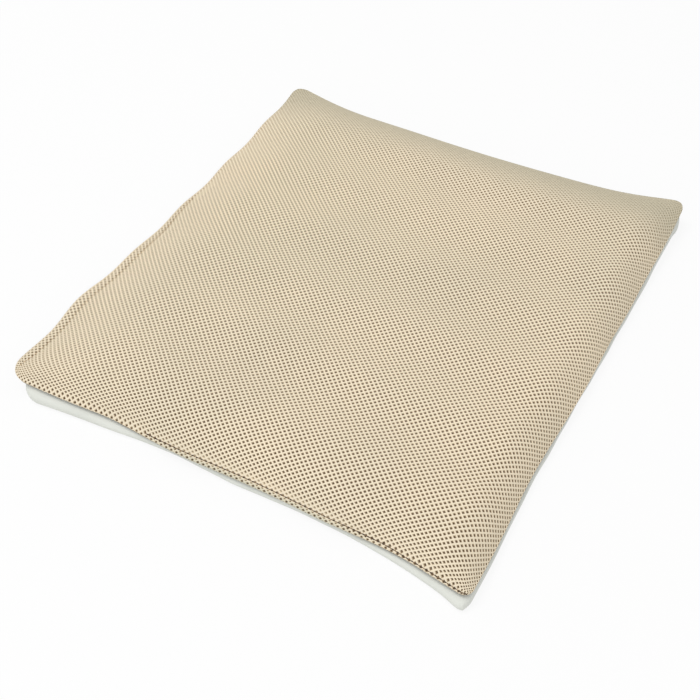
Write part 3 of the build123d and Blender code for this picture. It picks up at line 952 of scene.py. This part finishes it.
def skin_rings(name, rings, window=None):
    """A closed shell from rings of equal count, the first and the last filled.

    The window's levels and places are left open in the outer and in the inner wall, and its
    edges are closed between them; level k of the inner wall is the ring k from the last.
    """
    shell = bmesh.new()
    loops = [[shell.verts.new(point) for point in ring] for ring in rings]
    count, last = len(loops[0]), len(loops) - 1
    (sill, head), places = window or ((0, 0), [])
    open_rows = {*range(sill, head), *range(last - head, last - sill)}
    for row, (low, high) in enumerate(zip(loops, loops[1:])):
        for i in range(count):
            j = (i + 1) % count
            if row not in open_rows or i not in places:
                shell.faces.new((low[i], low[j], high[j], high[i]))
    if window:
        for level in (sill, head):
            outer, inner = loops[level], loops[last - level]
            for i in places:
                shell.faces.new((outer[i], outer[i + 1], inner[i + 1], inner[i]))
        for i in (places[0], places[-1] + 1):
            for k in range(sill, head):
                shell.faces.new(
                    (loops[k][i], loops[k + 1][i], loops[last - k - 1][i], loops[last - k][i])
                )
    shell.faces.new(loops[0][::-1])
    shell.faces.new(loops[-1])
    bmesh.ops.recalc_face_normals(shell, faces=shell.faces[:])
    for face in shell.faces:
        face.smooth = len(face.verts) == 4
    mesh = bpy.data.meshes.new(name)
    shell.to_mesh(mesh)
    shell.free()
    return mesh


def cloth_material():
    """Off-white woven cloth: fine ribs, faint creases, a cool cast."""
    material, start = new_material("base_cloth")
    ribs = texture(start, "Wave", "DIAGONAL", scale=330.0, distortion=3.0, detail=1.0)
    cloud = texture(start, "Noise", scale=22.0, detail=4.0)
    colour = tones(start, cloud, (0.3, (0.70, 0.715, 0.66)), (0.7, (0.75, 0.765, 0.71)))
    relief = ribs * 0.25 + texture(start, "Noise", scale=60.0, detail=5.0, distortion=0.6)
    return surface(material, start, colour, 0.8, bump=(relief, 0.4, 0.35 * MM))


rings = [base_ring(*level) for level in BAND]
rings += [hem_ring(SEAM_ALLOWANCE, 0.0), hem_ring(SEAM_ALLOWANCE, CLOTH)]
rings += [base_ring(*level, CLOTH) for level in reversed(BAND)]
window_places = [                             # the loop's last quarter runs along the left
    i for i in range(3 * SIDE_PLACES, 4 * SIDE_PLACES)
    if window_ends[0] < (loop_v[i] + loop_v[(i + 1) % len(loop_v)]) / 2 < window_ends[1]
]
base_panel_cloth = add_object("base_panel_cloth", skin_rings(
    "base_panel_cloth", rings, (WINDOW_LEVELS, window_places)
), cloth_material())
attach(base_panel_cloth, "cover")
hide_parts("base_panel")

# ---- foam --------------------------------------------------------------------------------
# The core is hidden: a firm slab at the bottom and a softer ribbed layer that fills the panel
# up to its underside. Both are open-celled, with fine pores.
SLAB_TOP = 12.0 * MM
SLAB_RINGS = (                                # how far inside the base, and at what height
    (16.5 * MM, 1.4 * MM), (15.0 * MM, 3.0 * MM), (15.0 * MM, SLAB_TOP - 1.2 * MM),
    (16.2 * MM, SLAB_TOP),
)
LAYER_GAP = 0.7 * MM                          # between the knit's underside and the foam
LAYER_LEFT, LAYER_RIGHT, LAYER_FRONT, LAYER_BACK = 19 * MM, 11 * MM, 19 * MM, 14 * MM
LAYER_FLOOR, LEAST_LAYER = SLAB_TOP + 0.1 * MM, SLAB_TOP + 0.6 * MM


def foam_material(name, pale, deep):
    """Open-celled foam: fine pores, darker inside with painted shade."""
    material, start = new_material(name)
    pores = texture(start, "Voronoi", out="Distance", scale=700.0)
    colour = tones(start, pores, (0.1, deep), (0.5, pale))
    return surface(material, start, colour, 0.95, bump=(pores, 0.6, 0.4 * MM))


def slab_ring(inset, height):
    """One level ring of the slab, this far inside the base."""
    x, y = loop_at(BASE_BOX, BASE_OUTLINE, inset)
    return np.stack([x, y, np.full_like(x, height)], 1)


firm_foam_slab = add_object(
    "firm_foam_slab", skin_rings("firm_foam_slab", [slab_ring(*ring) for ring in SLAB_RINGS]),
    foam_material("firm_foam", (0.62, 0.62, 0.60), (0.38, 0.38, 0.37)),
)
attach(firm_foam_slab, "cover")
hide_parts("foam_base_slab")

layer_points = form_grid - form_facing * (KNIT_THICKNESS + LAYER_GAP)
inside_x = (flat_x[0] > LEFT + LAYER_LEFT) & (flat_x[0] < RIGHT - LAYER_RIGHT)
inside_y = (flat_y[:, 0] > FRONT + LAYER_FRONT) & (flat_y[:, 0] < BACK - LAYER_BACK)
layer_top = layer_points[inside_y][:, inside_x]
layer_top[..., 2] = np.maximum(layer_top[..., 2], LEAST_LAYER)
layer_bottom = layer_top.copy()
layer_bottom[..., 2] = LAYER_FLOOR
along, across = layer_top.shape[:2]
top_faces = grid_faces(across, along)
bottom_faces = top_faces[:, ::-1] + along * across
rim = np.concatenate([                        # the layer's border, once round
    np.arange(across), across * np.arange(1, along) + across - 1,
    along * across - 1 - np.arange(1, across), across * np.arange(along - 2, 0, -1),
])
after = np.roll(rim, -1)
side_faces = np.stack([rim, rim + along * across, after + along * across, after], 1)
layer_mesh = bpy.data.meshes.new("soft_foam_layer")
layer_mesh.from_pydata(
    np.concatenate([layer_top.reshape(-1, 3), layer_bottom.reshape(-1, 3)]).tolist(), [],
    np.concatenate([top_faces, bottom_faces, side_faces]).tolist(),
)
soft_foam_layer = add_object(
    "soft_foam_layer", layer_mesh,
    foam_material("soft_foam", (0.80, 0.76, 0.60), (0.55, 0.50, 0.36)),
)
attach(soft_foam_layer, "cover")
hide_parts("ribbed_comfort_layer")

# ---- zip ---------------------------------------------------------------------------------
# The chain and its hardware keep their solids: woven tapes, nylon coil loops, and a plated
# slider, stops and pull tab, each with its own finish.


def tape_material():
    """Woven polyester: fine threads both ways."""
    material, start = new_material("zip_tape")
    weave = texture(start, "Wave", "Y", scale=520.0, distortion=0.8)
    cross = texture(start, "Wave", "Z", scale=420.0, distortion=0.8)
    grain = weave * 0.5 + cross * 0.5
    colour = tones(start, grain, (0.2, (0.60, 0.60, 0.555)), (0.8, (0.76, 0.76, 0.71)))
    return surface(material, start, colour, 0.8, bump=(grain, 0.5, 0.12 * MM))


def coil_material():
    """Smooth nylon."""
    material, start = new_material("zip_coil")
    cloud = texture(start, "Noise", scale=300.0)
    colour = tones(start, cloud, (0.3, (0.70, 0.70, 0.655)), (0.7, (0.78, 0.78, 0.735)))
    return surface(material, start, colour, 0.32)


def metal_material(name, colour_low, colour_high, rough_low, rough_high):
    """Plated metal: faint cloudy tone, fine scratches in the roughness and the bump."""
    material, start = new_material(name)
    cloud = texture(start, "Noise", scale=240.0, detail=4.0)
    colour = tones(start, cloud, (0.3, colour_low), (0.7, colour_high))
    fine = texture(start, "Noise", scale=1400.0, detail=5.0, distortion=1.2)
    roughness = fine * (rough_high - rough_low) + rough_low
    return surface(
        material, start, colour, roughness, bump=(fine, 0.15, 0.03 * MM), metallic=1.0
    )


zip_tape, zip_coil = tape_material(), coil_material()
zip_metal = metal_material("zip_metal", (0.52, 0.51, 0.49), (0.64, 0.63, 0.61), 0.22, 0.42)
spring_steel = metal_material(
    "spring_steel", (0.40, 0.41, 0.43), (0.50, 0.51, 0.53), 0.18, 0.30
)
FINISHES = {
    "zip_tape_upper": zip_tape, "zip_tape_lower": zip_tape, "zip_coil_upper": zip_coil,
    "zip_coil_lower": zip_coil, "zip_top_stops": zip_metal, "zip_bottom_stop": zip_metal,
    "zip_slider_body": zip_metal, "zip_slider_cap": zip_metal, "zip_pull_tab": zip_metal,
    "zip_lock_spring": spring_steel,
}
for name, finish in FINISHES.items():
    nodes[name].data.materials.clear()
    nodes[name].data.materials.append(finish)
